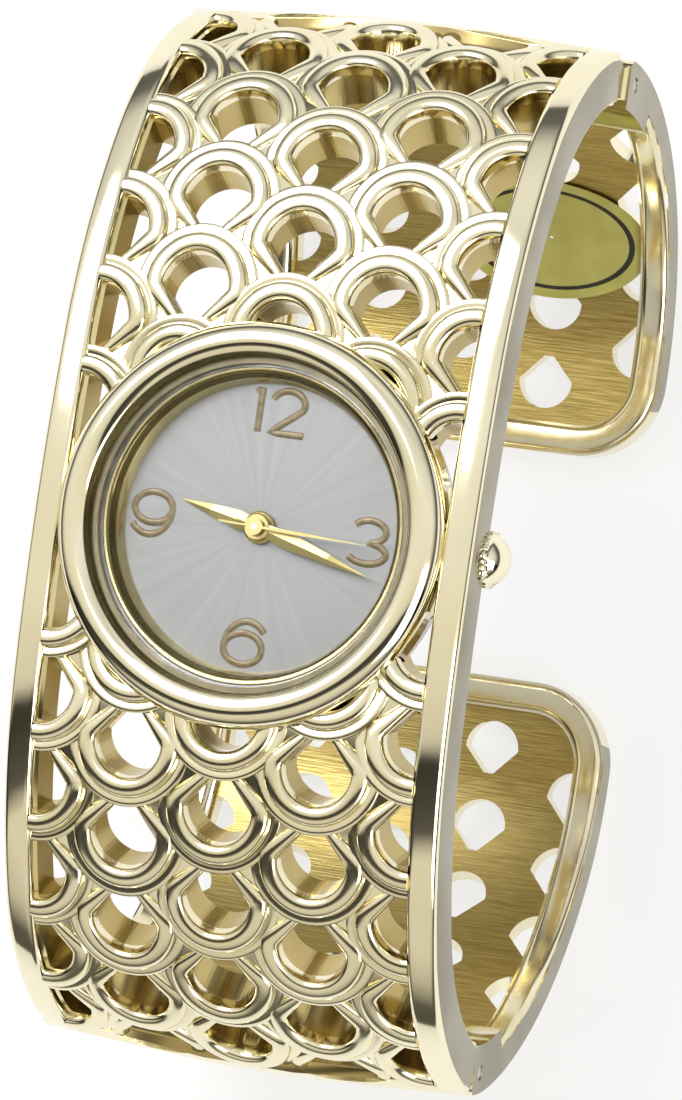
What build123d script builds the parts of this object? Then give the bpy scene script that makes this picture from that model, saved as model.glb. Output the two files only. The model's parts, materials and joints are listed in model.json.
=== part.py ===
"""Hinged cuff watch. An openwork front panel carries a round watch head, and two pierced arms
swing outward on cross pins at its ends. Millimetres. +Z is out of the dial, +Y is twelve o'clock,
+X is three o'clock, and z = 0 is the lowest point of the arms."""

import math
import os

from build123d import *

# Cuff band: an oval of tangent arcs in the YZ plane, the same crowned cross-section all along
band_width = 27.0
band_thickness = 3.0
band_crown = 0.65
crown_flat = 5.85
crest_radius = 112.7
crest_turn = 5.3
shoulder_radius = 33.8
shoulder_turn = 22.6
side_radius = 16.1
side_turn = 47.2

# Openwork of the front panel
rail_width = 1.8
end_bar_length = 1.0
lattice_drop = 0.8
column_pitch = 5.85
row_pitch = 5.55
middle_first_apex = 13.1
between_first_apex = 15.5
edge_first_apex = 7.5
fan_width = 4.2
fan_length = 3.8
fan_foot = 1.4
rail_web = 0.15

# Hinges
pin_diameter = 0.9
pin_inset = 1.35
pin_fit = 0.03
arm_end_rise = 1.3
link_thickness = 2.1
link_width = 20.0
link_collar_width = 26.4
link_collar_length = 2.2
hinge_clearance = 0.1
link_side_clearance = 0.15
link_end_clearance = 0.25
spring_window_width = 6.0
spring_wall = 0.4
spring_fit = 0.05
spring_leg_drop = 0.8
spring_leg_thickness = 0.35

# Arms
arm_edge_thickness = 1.7
arm_plate_thickness = 1.1
arm_rim_width = 1.9
arm_block_length = 5.5
arm_recess_start = 8.0
arm_tip_radius = 5.0
arm_recess_radius = 3.1
arm_fan_width = 3.5
arm_fan_length = 3.3
arm_fan_foot = 0.6
arm_row_pitch = 5.05
arm_between_from_tip = 4.4
arm_middle_from_tip = 6.9
arm_rows_between = 4
arm_rows_middle = 4
upper_arm_depth = 15.6
upper_arm_reach = 21.7
upper_arm_bends = ((0.91, 13.6), (1.03, 56.0), (0.96, 20.4))
lower_arm_reach = 23.5
lower_arm_bends = ((0.6, 15.3), (1.2, 50.8), (0.75, 23.9))

# Watch head, radii
bezel_radius = 11.8
case_radius = 10.9
neck_radius = 10.4
glass_pocket_radius = 9.7
glass_radius = 9.35
case_bore_radius = 9.2
dial_opening_radius = 8.35
dial_opening_top_radius = 8.75
dial_radius = 9.0
bezel_crest_radius = 10.6
seat_clearance = 0.05
head_clearance = 0.05

# Watch head, heights
bezel_rise = 1.2
bezel_seat_drop = 1.7
bezel_wall_height = 1.0
bezel_crest_drop = 0.5
bezel_lip_drop = 0.7
glass_sink = 0.85
glass_thickness = 0.7
hand_room = 1.45
dial_thickness = 0.4
movement_thickness = 2.6
back_gap = 0.2
back_thickness = 0.7
back_radius = 10.6
back_spigot_height = 0.2
back_spigot_wall = 0.9
gasket_thickness = 0.3
back_gasket_radius = 10.0
stem_height = 1.2

# Crown, stem and tube
crown_diameter = 3.3
crown_beyond_band = 1.2
crown_dome_height = 1.0
crown_case_gap = 2.3
crown_skirt_depth = 0.55
crown_skirt_wall = 0.4
flute_count = 24
flute_depth = 0.12
relief_clearance = 0.35
relief_width = 13.0
tube_radius = 0.75
tube_bore_radius = 0.5
tube_stand_out = 2.75
stem_radius = 0.4
stem_start = 4.5
stem_grip = 0.6
crown_gasket_length = 0.35

# Movement
movement_length = 13.0
movement_width = 12.0
battery_radius = 2.9
battery_thickness = 1.6
battery_place_x = -3.3
battery_place_y = -2.8
coil_length = 8.0
coil_radius = 1.0
coil_core_radius = 0.35
coil_place_x = -1.5
coil_place_y = 4.3
board_length = 4.6
board_width = 7.2
board_thickness = 0.3
board_place_x = 3.7
board_place_y = -1.9
clip_thickness = 0.15
clip_width = 1.6
part_fit = 0.1

# Hands and their arbors
hand_thickness = 0.15
hand_gap = 0.2
hour_hand_length = 5.0
minute_hand_length = 7.4
second_hand_length = 7.4
hour_hand_width = 0.95
minute_hand_width = 0.85
second_hand_width = 0.22
hour_hub_radius = 0.95
minute_hub_radius = 0.8
second_hub_radius = 0.5
second_tail_length = 2.2
hour_tube_radius = 0.7
minute_tube_radius = 0.42
second_arbor_radius = 0.18
arbor_fit = 0.04
arbor_depth = 0.8
hour_hand_angle = 168.0
minute_hand_angle = -16.0
second_hand_angle = -2.0
blade_shoulder_share = 0.28

# One overrun serves all cuts
overrun = 2.0

half_width = band_width / 2
window_half_width = half_width - rail_width
x_mid = -crown_beyond_band / 2
link_slot_half_width = link_width / 2 + link_side_clearance
arm_end_radius = pin_inset + band_crown * (1 - (link_slot_half_width / half_width) ** 2)
lower_pin_drop = arm_end_radius + hinge_clearance
upper_pin_drop = lower_pin_drop + link_collar_length
lower_arm_depth = upper_arm_depth + link_collar_length
flat_rise = band_crown * (1 - (crown_flat / band_width) ** 2)
panel_end = upper_arm_depth + flat_rise + upper_pin_drop


def onward(place, angle, radius, length):
    """Where a curve that bends clockwise has got to after a length, and its angle there."""
    y, z = place
    if not radius:
        return (y + length * math.cos(angle), z + length * math.sin(angle)), angle
    turned_to = angle - length / radius
    y += radius * (math.sin(angle) - math.sin(turned_to))
    z += radius * (math.cos(turned_to) - math.cos(angle))
    return (y, z), turned_to


class Trace:
    """Arcs in the YZ plane, each tangent to the last, known by the length along them. Behind
    mark 0 the curve is mirrored."""

    def __init__(self, start, angle, bends):
        self.steps = []
        self.length = 0.0
        for radius, length in bends:
            self.steps.append((self.length, start, angle, radius, length))
            start, angle = onward(start, angle, radius, length)
            self.length += length

    def along(self, mark):
        """Point and angle of the curve at a mark."""
        first, start, angle, radius, _ = [step for step in self.steps if step[0] <= abs(mark)][-1]
        (y, z), angle = onward(start, angle, radius, abs(mark) - first)
        return ((y, z), angle) if mark >= 0 else ((-y, z), -angle)

    def point(self, mark):
        y, z = self.along(mark)[0]
        return Vector(x_mid, y, z)

    def heading(self, mark):
        angle = self.along(mark)[1]
        return Vector(0, math.cos(angle), math.sin(angle))

    def outward(self, mark):
        return Vector(1, 0, 0).cross(self.heading(mark))

    def square_to(self, mark):
        """Plane across the band: x along the pins, y outward."""
        return Plane(self.point(mark), x_dir=(1, 0, 0), z_dir=-self.heading(mark))

    def touching(self, mark, across, way):
        """Plane on the band's outer face, its y along the band, forward or back."""
        origin = self.point(mark) + Vector(across, 0, 0)
        return Plane(origin, x_dir=(way, 0, 0), z_dir=self.outward(mark))

    def stretches(self, first, last):
        """First mark, last mark and radius of each arc between two marks."""
        spans = [(mark, mark + length, radius) for mark, _, _, radius, length in self.steps]
        if first < 0:
            spans = [(-end, -start, radius) for start, end, radius in reversed(spans)] + spans
        clipped = [(max(start, first), min(end, last), radius) for start, end, radius in spans]
        return [(start, end, radius) for start, end, radius in clipped if end - start > 0]


def bend(radius, turn):
    return radius, radius * math.radians(turn)


def arm_trace(depth, reach, bends):
    """An arm's outer face about the pin's centre: arcs down to its flat, then straight to the
    tip. Each bend gives a share of the depth and a turn, and the shares are scaled to fit."""
    start = (pin_inset, arm_end_rise)
    place, angle = (0.0, 0.0), -math.pi / 2
    for share, turn in bends:
        place, angle = onward(place, angle, *bend(share, turn))
    scale = (depth + arm_end_rise) / -place[1]
    arcs = [bend(scale * share, turn) for share, turn in bends]
    return Trace(start, -math.pi / 2, [*arcs, (0, reach + pin_inset + scale * place[0])])


def lift(across):
    """How far the crowned face stands above its edges, at a distance from the middle."""
    return band_crown * (1 - (across / half_width) ** 2)


def slab(half, upper, lower):
    """Cross-section between two crowned faces, given by their heights at the band's edges. The
    crown is so shallow that three flats follow it within a tenth of a millimetre."""
    across = [-half, -crown_flat / 2, crown_flat / 2, half]
    outer = [(x, upper + lift(x)) for x in across]
    inner = [(x, lower + lift(x)) for x in reversed(across)]
    with BuildSketch() as section:
        with BuildLine():
            Polyline(*outer, *inner, close=True)
        make_face()
    return section.sketch


def carried(trace, first, last, section):
    """A cross-section carried along a stretch of a trace, arc by arc."""
    with BuildPart() as solid:
        for start, end, radius in trace.stretches(first, last):
            with BuildSketch(trace.square_to(start)):
                add(section)
            if radius:
                centre = trace.point(start) - trace.outward(start) * radius
                turn = math.degrees((end - start) / radius)
                revolve(axis=Axis(centre, (-1, 0, 0)), revolution_arc=turn)
            else:
                extrude(amount=start - end)
    return solid.part


def fan(width, length, foot):
    """Scale opening: a round head at the origin, narrowing towards its foot."""
    half = width / 2
    with BuildSketch() as outline:
        with BuildLine():
            ThreePointArc((-half, -half), (0, 0), (half, -half))
            Line((half, -half), (foot / 2, -length))
            Line((foot / 2, -length), (-foot / 2, -length))
            Line((-foot / 2, -length), (-half, -half))
        make_face()
    return outline.sketch


def fan_cutter(trace, mark, across, way, shape, half_window, mark_limit):
    """A fan through the band, kept between the rails and short of the end bar."""
    room = mark_limit - abs(mark)
    with BuildPart() as cutter:
        with BuildSketch(trace.touching(mark, across, way)):
            add(shape)
            with Locations((-way * across, room - trace.length / 2)):
                Rectangle(2 * half_window, trace.length, mode=Mode.INTERSECT)
        extrude(amount=band_thickness, both=True)
    return cutter.part


def level(height):
    return Plane((x_mid, 0, height))


def disc(radius, bottom, top, bore=0.0):
    """A plain ring or disc about the dial's axis."""
    with BuildPart() as solid:
        with BuildSketch(level(bottom)):
            Circle(radius)
            if bore:
                Circle(bore, mode=Mode.SUBTRACT)
        extrude(amount=top - bottom)
    return solid.part


def rod(radius, start, end, y, z, bore=0.0):
    """A round bar or tube along X, between two distances from the dial's axis."""
    with BuildPart() as solid:
        with BuildSketch(Plane((x_mid + start, y, z), x_dir=(0, 1, 0), z_dir=(1, 0, 0))):
            Circle(radius)
            if bore:
                Circle(bore, mode=Mode.SUBTRACT)
        extrude(amount=end - start)
    return solid.part


def turned(points):
    """A ring turned about the dial's axis from a closed outline of radius and height."""
    with BuildPart() as solid:
        with BuildSketch(Plane((x_mid, 0, 0), x_dir=(1, 0, 0), z_dir=(0, -1, 0))):
            with BuildLine():
                Polyline(*points, close=True)
            make_face()
        revolve(axis=Axis((x_mid, 0, 0), (0, 0, 1)))
    return solid.part


# The band's course, from the middle of the panel to its ends
band_bends = [
    bend(crest_radius, crest_turn),
    bend(shoulder_radius, shoulder_turn),
    bend(side_radius, side_turn),
]
half_course = Trace((0, 0), 0, band_bends)
band_half = half_course.length
panel_rise = -half_course.point(band_half).Z
panel_half_length = half_course.point(band_half).Y
rail_top = panel_end + panel_rise
band = Trace((0, rail_top), 0, [*band_bends, (side_radius, band_thickness / 2)])

# Heights in the watch head
bezel_top = rail_top + bezel_rise
bezel_bottom = rail_top - bezel_seat_drop
glass_top = bezel_top - glass_sink
glass_bottom = glass_top - glass_thickness
dial_top = glass_bottom - hand_room
dial_bottom = dial_top - dial_thickness
movement_bottom = dial_bottom - movement_thickness
case_bottom = movement_bottom - back_gap
back_bottom = case_bottom - back_thickness
crown_axis = movement_bottom + stem_height

# Front panel
window_end = band_half - end_bar_length
lattice_top = -lattice_drop
hole_half_window = window_half_width - rail_web
hole_end = window_end - rail_web
panel_fan = fan(fan_width, fan_length, fan_foot)
rail_underside = rail_top - band_thickness
relief_top = crown_axis + crown_diameter / 2 + relief_clearance
relief_rise = relief_top - rail_underside
relief_radius = ((relief_width / 2) ** 2 + relief_rise**2) / (2 * relief_rise)


def panel_fans():
    """Column place and apex mark of every opening in one half of the panel."""
    places = []
    for column in range(-2, 3):
        first = between_first_apex if column % 2 else middle_first_apex
        if abs(column) == 2:
            first = edge_first_apex
        apex = first
        while apex - fan_length < hole_end - fan_foot:
            places.append((column * column_pitch, apex))
            apex += row_pitch
    return places


with BuildPart() as front_panel:
    add(carried(band, -band.length, band.length, slab(half_width, 0, -band_thickness)))
    with Locations((x_mid, 0, panel_end - band_thickness)):
        Box(2 * band_width, 4 * panel_half_length, 2 * band_thickness, mode=Mode.SUBTRACT)
    add(
        carried(band, -window_end, window_end, slab(window_half_width, overrun, lattice_top)),
        mode=Mode.SUBTRACT,
    )
    add(
        [
            fan_cutter(band, way * apex, across, way, panel_fan, hole_half_window, hole_end)
            for across, apex in panel_fans()
            for way in (-1, 1)
        ],
        mode=Mode.SUBTRACT,
    )
    add(disc(bezel_radius + seat_clearance, bezel_bottom, bezel_top + overrun), mode=Mode.SUBTRACT)
    add(disc(case_radius + seat_clearance, back_bottom, bezel_top), mode=Mode.SUBTRACT)
    add(
        rod(relief_radius, case_radius, half_width + overrun, 0, relief_top - relief_radius),
        mode=Mode.SUBTRACT,
    )
front_panel.part.label = "front_panel"

# Hinge links, pins and springs
pin_y = panel_half_length - pin_inset
upper_pin_z = panel_end - upper_pin_drop
lower_pin_z = panel_end - lower_pin_drop
link_end_radius = link_thickness / 2
pin_length = band_width - 2 * hinge_clearance
spring_radius = pin_diameter / 2 + spring_fit + spring_wall


def hinge_link(y, pin_z, collar):
    """Link from the panel's end to the pin: two prongs with a window for the spring."""
    with BuildPart() as link:
        with BuildSketch(Plane((x_mid - link_width / 2, y, pin_z), x_dir=(0, 1, 0), z_dir=(1, 0, 0))):
            Circle(link_end_radius)
            with Locations((0, (panel_end - pin_z) / 2)):
                Rectangle(link_thickness, panel_end - pin_z)
        extrude(amount=link_width)
        if collar:
            with Locations((x_mid, y, panel_end - link_collar_length / 2)):
                Box(link_collar_width, link_thickness, link_collar_length)
        add(
            rod(pin_diameter / 2 + pin_fit, -half_width, half_width, y, pin_z),
            mode=Mode.SUBTRACT,
        )
        with Locations((x_mid, y, pin_z)):
            Box(spring_window_width, link_thickness + overrun, 2 * link_end_radius, mode=Mode.SUBTRACT)
    return link.part


def hinge_spring(y, pin_z, side):
    """Close-wound spring round the pin, with an end that rests against the arm."""
    half_length = spring_window_width / 2 - link_side_clearance
    with BuildPart() as spring:
        add(rod(spring_radius, -half_length, half_length, y, pin_z, bore=pin_diameter / 2 + spring_fit))
        with BuildSketch(Plane((x_mid - half_length, y, pin_z), x_dir=(0, 1, 0), z_dir=(1, 0, 0))):
            with Locations((side * (spring_leg_thickness / 2 - spring_radius), -spring_leg_drop / 2)):
                Rectangle(spring_leg_thickness, spring_leg_drop)
        extrude(amount=spring_leg_thickness)
    return spring.part


with BuildPart() as upper_link:
    add(hinge_link(pin_y, upper_pin_z, True))
upper_link.part.label = "upper_link"

with BuildPart() as lower_link:
    add(hinge_link(-pin_y, lower_pin_z, False))
lower_link.part.label = "lower_link"

with BuildPart() as upper_hinge_pin:
    add(rod(pin_diameter / 2, -pin_length / 2, pin_length / 2, pin_y, upper_pin_z))
upper_hinge_pin.part.label = "upper_hinge_pin"

with BuildPart() as lower_hinge_pin:
    add(rod(pin_diameter / 2, -pin_length / 2, pin_length / 2, -pin_y, lower_pin_z))
lower_hinge_pin.part.label = "lower_hinge_pin"

with BuildPart() as upper_hinge_spring:
    add(hinge_spring(pin_y, upper_pin_z, 1))
upper_hinge_spring.part.label = "upper_hinge_spring"

with BuildPart() as lower_hinge_spring:
    add(hinge_spring(-pin_y, lower_pin_z, -1))
lower_hinge_spring.part.label = "lower_hinge_spring"


# Arms
def corner_cutter(x, y, radius, side):
    """What a rounded corner leaves outside: a square less a quarter disc."""
    with BuildPart() as cutter:
        with BuildSketch(Plane((x_mid, 0, -lower_arm_depth - overrun))):
            with Locations((side * x, y)):
                Rectangle(2 * radius, 2 * radius)
            with Locations((side * (x - radius), y + radius)):
                Circle(radius, mode=Mode.SUBTRACT)
            with Locations((side * (x - 3 * radius / 2), y + radius)):
                Rectangle(radius, 4 * radius, mode=Mode.SUBTRACT)
            with Locations((side * x, y + 3 * radius / 2)):
                Rectangle(4 * radius, radius, mode=Mode.SUBTRACT)
        extrude(amount=band_thickness + 2 * overrun)
    return cutter.part


def arm_fans():
    """Column place and distance of every opening from the arm's tip."""
    places = []
    for column in range(-2, 3):
        first = arm_between_from_tip if column % 2 else arm_middle_from_tip
        rows = arm_rows_between if column % 2 else arm_rows_middle
        for row in range(rows):
            places.append((column * column_pitch, first + row * arm_row_pitch - arm_fan_length / 2))
    return places


def arm_shape(trace, reach):
    """An arm about its pin's centre: rimmed plate, thick hinged end with two ears, pierced fans."""
    recess_half_width = half_width - arm_rim_width
    shape = fan(arm_fan_width, arm_fan_length, arm_fan_foot)
    with BuildPart() as recess:
        add(
            carried(
                trace,
                arm_recess_start,
                trace.length - arm_rim_width,
                slab(recess_half_width, -arm_plate_thickness, -arm_edge_thickness - overrun),
            )
        )
        for side in (-1, 1):
            add(
                corner_cutter(recess_half_width, arm_rim_width - reach, arm_recess_radius, side),
                mode=Mode.SUBTRACT,
            )
    with BuildPart() as arm:
        add(carried(trace, 0, trace.length, slab(half_width, 0, -arm_edge_thickness)))
        add(carried(trace, 0, arm_block_length, slab(half_width, 0, -band_thickness)))
        add(recess.part, mode=Mode.SUBTRACT)
        for side in (-1, 1):
            add(corner_cutter(half_width, -reach, arm_tip_radius, side), mode=Mode.SUBTRACT)
        add(
            [
                fan_cutter(
                    trace,
                    trace.length - from_tip,
                    across,
                    1,
                    shape,
                    recess_half_width - rail_web,
                    trace.length,
                )
                for across, from_tip in arm_fans()
            ],
            mode=Mode.SUBTRACT,
        )
        with Locations((x_mid, 0, arm_end_rise)):
            Box(
                2 * link_slot_half_width,
                2 * band_thickness,
                2 * (arm_end_rise + link_end_radius + link_end_clearance),
                mode=Mode.SUBTRACT,
            )
        with BuildSketch(Plane((x_mid - half_width, 0, 0), x_dir=(0, 1, 0), z_dir=(1, 0, 0))):
            with Locations((overrun / 2, overrun / 2)):
                Rectangle(overrun, overrun)
            Circle(arm_end_radius, mode=Mode.SUBTRACT)
        extrude(amount=band_width, mode=Mode.SUBTRACT)
        add(rod(pin_diameter / 2 + pin_fit, -half_width, half_width, 0, 0), mode=Mode.SUBTRACT)
    return arm.part


upper_trace = arm_trace(upper_arm_depth, upper_arm_reach, upper_arm_bends)
lower_trace = arm_trace(lower_arm_depth, lower_arm_reach, lower_arm_bends)

with BuildPart() as upper_arm:
    add(arm_shape(upper_trace, upper_arm_reach).moved(Location((0, pin_y, upper_pin_z))))
upper_arm.part.label = "upper_arm"

with BuildPart() as lower_arm:
    add(
        arm_shape(lower_trace, lower_arm_reach)
        .mirror(Plane.XZ)
        .moved(Location((0, -pin_y, lower_pin_z)))
    )
lower_arm.part.label = "lower_arm"

# Watch case, bezel and glass
with BuildPart() as case_body:
    add(disc(case_radius, case_bottom, bezel_bottom, bore=case_bore_radius))
    add(disc(neck_radius, bezel_bottom, glass_bottom, bore=case_bore_radius))
    add(rod(tube_radius, 0, case_radius + overrun, 0, crown_axis), mode=Mode.SUBTRACT)
case_body.part.label = "case_body"

with BuildPart() as bezel:
    add(
        turned(
            [
                (neck_radius, bezel_bottom),
                (bezel_radius, bezel_bottom),
                (bezel_radius, bezel_bottom + bezel_wall_height),
                ((bezel_radius + bezel_crest_radius) / 2, bezel_top - bezel_crest_drop),
                (bezel_crest_radius, bezel_top),
                (glass_pocket_radius, bezel_top - bezel_lip_drop),
                (glass_pocket_radius, glass_bottom),
                (neck_radius, glass_bottom),
            ]
        )
    )
bezel.part.label = "bezel"

with BuildPart() as crystal:
    add(disc(glass_radius, glass_bottom, glass_top))
crystal.part.label = "crystal"

with BuildPart() as crystal_gasket:
    add(disc(glass_pocket_radius, glass_bottom, glass_top - gasket_thickness, bore=glass_radius))
crystal_gasket.part.label = "crystal_gasket"

with BuildPart() as dial_ring:
    add(
        turned(
            [
                (dial_opening_radius, dial_top),
                (case_bore_radius - head_clearance, dial_top),
                (case_bore_radius - head_clearance, glass_bottom),
                (dial_opening_top_radius, glass_bottom),
            ]
        )
    )
dial_ring.part.label = "dial_ring"

with BuildPart() as dial:
    add(disc(dial_radius, dial_bottom, dial_top, bore=hour_tube_radius + arbor_fit))
dial.part.label = "dial"

# Case back
with BuildPart() as case_back:
    add(disc(back_radius, back_bottom, case_bottom))
    add(
        disc(
            case_bore_radius - head_clearance,
            case_bottom,
            case_bottom + back_spigot_height,
            bore=case_bore_radius - back_spigot_wall,
        )
    )
    add(
        disc(
            back_gasket_radius,
            case_bottom - gasket_thickness,
            case_bottom,
            bore=back_gasket_radius - gasket_thickness,
        ),
        mode=Mode.SUBTRACT,
    )
case_back.part.label = "case_back"

with BuildPart() as case_back_gasket:
    add(
        disc(
            back_gasket_radius,
            case_bottom - gasket_thickness,
            case_bottom,
            bore=back_gasket_radius - gasket_thickness,
        )
    )
case_back_gasket.part.label = "case_back_gasket"


# Movement
def pocket(x, y, length, width, height):
    """A block let into the movement from its back."""
    with BuildPart() as block:
        with BuildSketch(Plane((x_mid + x, y, movement_bottom))):
            Rectangle(length, width)
        extrude(amount=height)
    return block.part


coil_height = movement_bottom + coil_radius
coil_start = coil_place_x - coil_length / 2
coil_end = coil_place_x + coil_length / 2
stem_slot = 2 * (stem_radius + part_fit)

with BuildPart() as movement_holder:
    add(disc(case_bore_radius - head_clearance, movement_bottom, dial_bottom))
    with BuildSketch(level(movement_bottom)):
        Rectangle(movement_length + part_fit, movement_width + part_fit)
    extrude(amount=movement_thickness, mode=Mode.SUBTRACT)
    with BuildSketch(Plane((x_mid + case_bore_radius, 0, movement_bottom))):
        Rectangle(case_bore_radius, stem_slot)
    extrude(amount=stem_height + stem_slot / 2, mode=Mode.SUBTRACT)
movement_holder.part.label = "movement_holder"

with BuildPart() as movement_plate:
    with BuildSketch(level(movement_bottom)):
        Rectangle(movement_length, movement_width)
    extrude(amount=movement_thickness)
    with BuildSketch(Plane((x_mid + battery_place_x, battery_place_y, movement_bottom))):
        Circle(battery_radius + part_fit)
    extrude(amount=battery_thickness + part_fit, mode=Mode.SUBTRACT)
    add(
        pocket(
            coil_place_x,
            coil_place_y,
            coil_length + 2 * part_fit,
            2 * (coil_radius + part_fit),
            2 * coil_radius + part_fit,
        ),
        mode=Mode.SUBTRACT,
    )
    add(
        pocket(
            board_place_x,
            board_place_y,
            board_length + 2 * part_fit,
            board_width + 2 * part_fit,
            board_thickness + part_fit,
        ),
        mode=Mode.SUBTRACT,
    )
    add(
        rod(stem_radius + part_fit, stem_start - part_fit, case_bore_radius, 0, crown_axis),
        mode=Mode.SUBTRACT,
    )
    add(
        disc(hour_tube_radius + arbor_fit, dial_bottom - arbor_depth, dial_bottom),
        mode=Mode.SUBTRACT,
    )
movement_plate.part.label = "movement_plate"

with BuildPart() as battery:
    with BuildSketch(Plane((x_mid + battery_place_x, battery_place_y, movement_bottom))):
        Circle(battery_radius)
    extrude(amount=battery_thickness)
battery.part.label = "battery"

with BuildPart() as coil:
    add(rod(coil_radius, coil_start + part_fit, coil_end - part_fit, coil_place_y, coil_height))
    add(rod(coil_core_radius, coil_start, coil_end, coil_place_y, coil_height))
coil.part.label = "coil"

with BuildPart() as circuit_board:
    add(pocket(board_place_x, board_place_y, board_length, board_width, board_thickness))
circuit_board.part.label = "circuit_board"

with BuildPart() as battery_clip:
    with BuildSketch(Plane((x_mid + battery_place_x, battery_place_y, movement_bottom - clip_thickness))):
        Rectangle(2 * battery_radius, clip_width)
    extrude(amount=clip_thickness)
battery_clip.part.label = "battery_clip"

# Crown, tube, gasket and stem
crown_end = half_width + crown_beyond_band
crown_start = case_radius + crown_case_gap
crown_radius = crown_diameter / 2
flute_start = crown_end - crown_dome_height
tube_end = case_radius + tube_stand_out
gasket_radius = crown_radius - crown_skirt_wall
skirt_end = crown_start + crown_skirt_depth
flute_floor = crown_radius - flute_depth
flute_side = math.sqrt(2) * flute_depth
dome_radius = (flute_floor**2 + crown_dome_height**2) / (2 * crown_dome_height)
dome_turn = math.degrees(math.asin(flute_floor / dome_radius))

with BuildPart() as crown_tube:
    add(rod(tube_radius, case_bore_radius, tube_end, 0, crown_axis, bore=tube_bore_radius))
crown_tube.part.label = "crown_tube"

with BuildPart() as crown:
    add(rod(crown_radius, crown_start, flute_start, 0, crown_axis))
    with BuildSketch(Plane((x_mid, 0, crown_axis), x_dir=(1, 0, 0), z_dir=(0, -1, 0))):
        with BuildLine():
            Line((flute_start, 0), (crown_end, 0))
            CenterArc((crown_end - dome_radius, 0), dome_radius, 0, dome_turn)
            Line((flute_start, flute_floor), (flute_start, 0))
        make_face()
    revolve(axis=Axis((x_mid, 0, crown_axis), (1, 0, 0)))
    with BuildSketch(Plane((x_mid + crown_start, 0, crown_axis), x_dir=(0, 1, 0), z_dir=(1, 0, 0))):
        with PolarLocations(crown_radius, flute_count):
            Rectangle(flute_side, flute_side, rotation=45)
    extrude(amount=flute_start - crown_start, mode=Mode.SUBTRACT)
    add(rod(gasket_radius, crown_start, skirt_end, 0, crown_axis), mode=Mode.SUBTRACT)
    add(rod(stem_radius, crown_start, skirt_end + stem_grip, 0, crown_axis), mode=Mode.SUBTRACT)
crown.part.label = "crown"

with BuildPart() as winding_stem:
    add(rod(stem_radius, stem_start, skirt_end + stem_grip, 0, crown_axis))
winding_stem.part.label = "winding_stem"

with BuildPart() as crown_gasket:
    add(
        rod(
            gasket_radius,
            skirt_end - crown_gasket_length,
            skirt_end,
            0,
            crown_axis,
            bore=tube_radius + arbor_fit,
        )
    )
crown_gasket.part.label = "crown_gasket"

# Hands
hour_level = dial_top + hand_gap
minute_level = hour_level + hand_thickness + hand_gap
second_level = minute_level + hand_thickness + hand_gap


def hand(height, angle, length, width, hub_radius, bore, tail):
    """A blade that widens from the hub to its shoulder and runs to a point."""
    shoulder = length * blade_shoulder_share
    with BuildPart() as solid:
        with BuildSketch(level(height).rotated((0, 0, angle))):
            with BuildLine():
                Polyline(
                    (-tail, -width / 4),
                    (0, -width / 4),
                    (shoulder, -width / 2),
                    (length, 0),
                    (shoulder, width / 2),
                    (0, width / 4),
                    (-tail, width / 4),
                    close=True,
                )
            make_face()
            Circle(hub_radius)
            if bore:
                Circle(bore, mode=Mode.SUBTRACT)
        extrude(amount=hand_thickness)
    return solid.part


with BuildPart() as hour_hand:
    add(
        hand(
            hour_level,
            hour_hand_angle,
            hour_hand_length,
            hour_hand_width,
            hour_hub_radius,
            hour_tube_radius,
            hour_hub_radius / 2,
        )
    )
hour_hand.part.label = "hour_hand"

with BuildPart() as minute_hand:
    add(
        hand(
            minute_level,
            minute_hand_angle,
            minute_hand_length,
            minute_hand_width,
            minute_hub_radius,
            minute_tube_radius,
            minute_hub_radius / 2,
        )
    )
minute_hand.part.label = "minute_hand"

with BuildPart() as second_hand:
    add(
        hand(
            second_level,
            second_hand_angle,
            second_hand_length,
            second_hand_width,
            second_hub_radius,
            second_arbor_radius,
            second_tail_length,
        )
    )
second_hand.part.label = "second_hand"

with BuildPart() as hour_tube:
    add(
        disc(
            hour_tube_radius,
            dial_bottom - arbor_depth,
            hour_level + hand_thickness,
            bore=minute_tube_radius + arbor_fit,
        )
    )
hour_tube.part.label = "hour_tube"

with BuildPart() as minute_tube:
    add(
        disc(
            minute_tube_radius,
            dial_bottom - arbor_depth,
            minute_level + hand_thickness,
            bore=second_arbor_radius + arbor_fit,
        )
    )
minute_tube.part.label = "minute_tube"

with BuildPart() as second_arbor:
    add(disc(second_arbor_radius, dial_bottom - arbor_depth, second_level + hand_thickness))
second_arbor.part.label = "second_arbor"

os.makedirs("parts", exist_ok=True)
export_step(front_panel.part, "parts/front_panel.step")
export_step(upper_link.part, "parts/upper_link.step")
export_step(lower_link.part, "parts/lower_link.step")
export_step(upper_hinge_pin.part, "parts/upper_hinge_pin.step")
export_step(lower_hinge_pin.part, "parts/lower_hinge_pin.step")
export_step(upper_hinge_spring.part, "parts/upper_hinge_spring.step")
export_step(lower_hinge_spring.part, "parts/lower_hinge_spring.step")
export_step(upper_arm.part, "parts/upper_arm.step")
export_step(lower_arm.part, "parts/lower_arm.step")
export_step(case_body.part, "parts/case_body.step")
export_step(bezel.part, "parts/bezel.step")
export_step(crystal.part, "parts/crystal.step")
export_step(crystal_gasket.part, "parts/crystal_gasket.step")
export_step(dial_ring.part, "parts/dial_ring.step")
export_step(dial.part, "parts/dial.step")
export_step(case_back.part, "parts/case_back.step")
export_step(case_back_gasket.part, "parts/case_back_gasket.step")
export_step(movement_holder.part, "parts/movement_holder.step")
export_step(movement_plate.part, "parts/movement_plate.step")
export_step(battery.part, "parts/battery.step")
export_step(battery_clip.part, "parts/battery_clip.step")
export_step(coil.part, "parts/coil.step")
export_step(circuit_board.part, "parts/circuit_board.step")
export_step(crown_tube.part, "parts/crown_tube.step")
export_step(crown_gasket.part, "parts/crown_gasket.step")
export_step(crown.part, "parts/crown.step")
export_step(winding_stem.part, "parts/winding_stem.step")
export_step(hour_hand.part, "parts/hour_hand.step")
export_step(minute_hand.part, "parts/minute_hand.step")
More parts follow.
